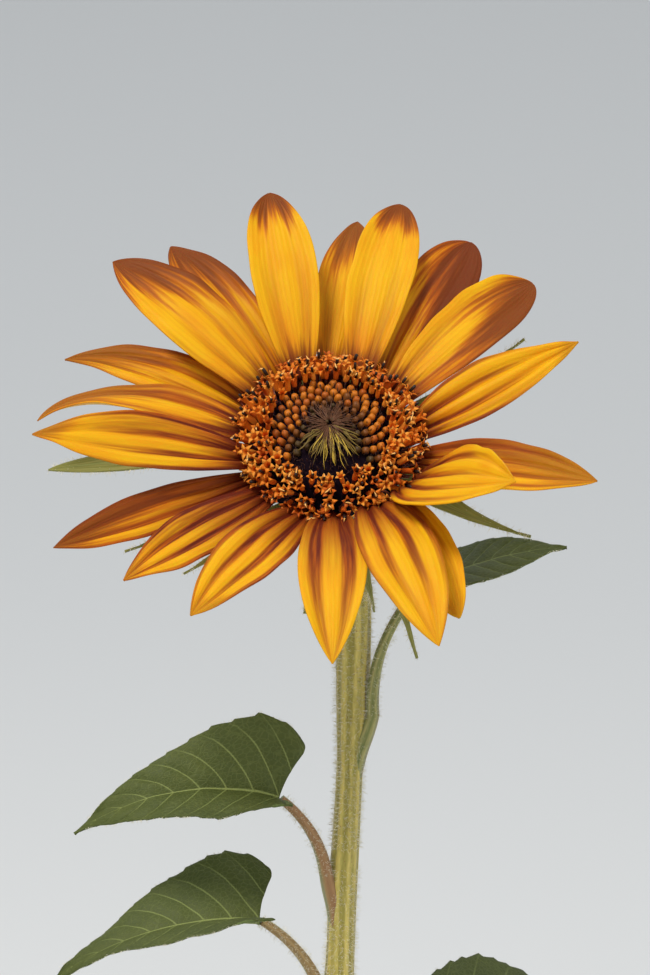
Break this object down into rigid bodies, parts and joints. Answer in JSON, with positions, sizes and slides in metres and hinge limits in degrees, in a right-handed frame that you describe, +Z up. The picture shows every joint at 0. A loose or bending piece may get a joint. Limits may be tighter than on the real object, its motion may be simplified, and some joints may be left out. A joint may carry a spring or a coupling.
{
  "type": "sunflower plant",
  "caption": "Compact rooted sunflower: upright hairy stem with alternate heart-shaped leaves and an open golden flower head tipped up and forwards.",
  "frame": {"origin": "centre of the stem's flat cut at ground level", "axes": "+Z up along the stem, -Y the way the flower head faces, +X to the right as the head is faced"},
  "size_m": [0.202, 0.2138, 0.4157],
  "materials": {
    "ray": "soft matt petal, golden yellow with red-brown flush at base and tip",
    "floret": "soft matt tubular florets, burnt orange with dark tips",
    "bud": "waxy closed buds, golden brown",
    "bract": "hairy matt green bract",
    "leaf": "rough matt leaf with pale veins",
    "stem": "ribbed pale green stem with white bristles",
    "petiole": "ribbed leaf stalk, reddish green with white bristles"
  },
  "bodies": {
    "root": {"bract_01": "bract", "bract_02": "bract", "bract_03": "bract", "bract_04": "bract", "bract_05": "bract", "bract_06": "bract", "bract_07": "bract", "bract_08": "bract", "bract_09": "bract", "bract_10": "bract", "bract_11": "bract", "bract_12": "bract", "bract_13": "bract", "bract_14": "bract", "bract_15": "bract", "bract_16": "bract", "disc_buds": "bud", "disc_florets": "floret", "leaf_1_right_upper_blade": "leaf", "leaf_1_right_upper_petiole": "petiole", "leaf_2_left_upper_blade": "leaf", "leaf_2_left_upper_petiole": "petiole", "leaf_3_left_low_blade": "leaf", "leaf_3_left_low_petiole": "petiole", "leaf_4_right_middle_blade": "leaf", "leaf_4_right_middle_petiole": "petiole", "leaf_5_back_blade": "leaf", "leaf_5_back_petiole": "petiole", "leaf_6_front_right_blade": "leaf", "leaf_6_front_right_petiole": "petiole", "leaf_7_left_base_blade": "leaf", "leaf_7_left_base_petiole": "petiole", "leaf_8_right_base_blade": "leaf", "leaf_8_right_base_petiole": "petiole", "ray_01": "ray", "ray_02": "ray", "ray_03": "ray", "ray_04": "ray", "ray_05": "ray", "ray_06": "ray", "ray_07": "ray", "ray_08": "ray", "ray_09": "ray", "ray_10": "ray", "ray_11": "ray", "ray_12": "ray", "ray_13": "ray", "ray_14": "ray", "ray_15": "ray", "ray_16": "ray", "ray_17": "ray", "ray_18": "ray", "ray_19": "ray", "receptacle": "bract", "stem": "stem"}
  },
  "joints": []
}
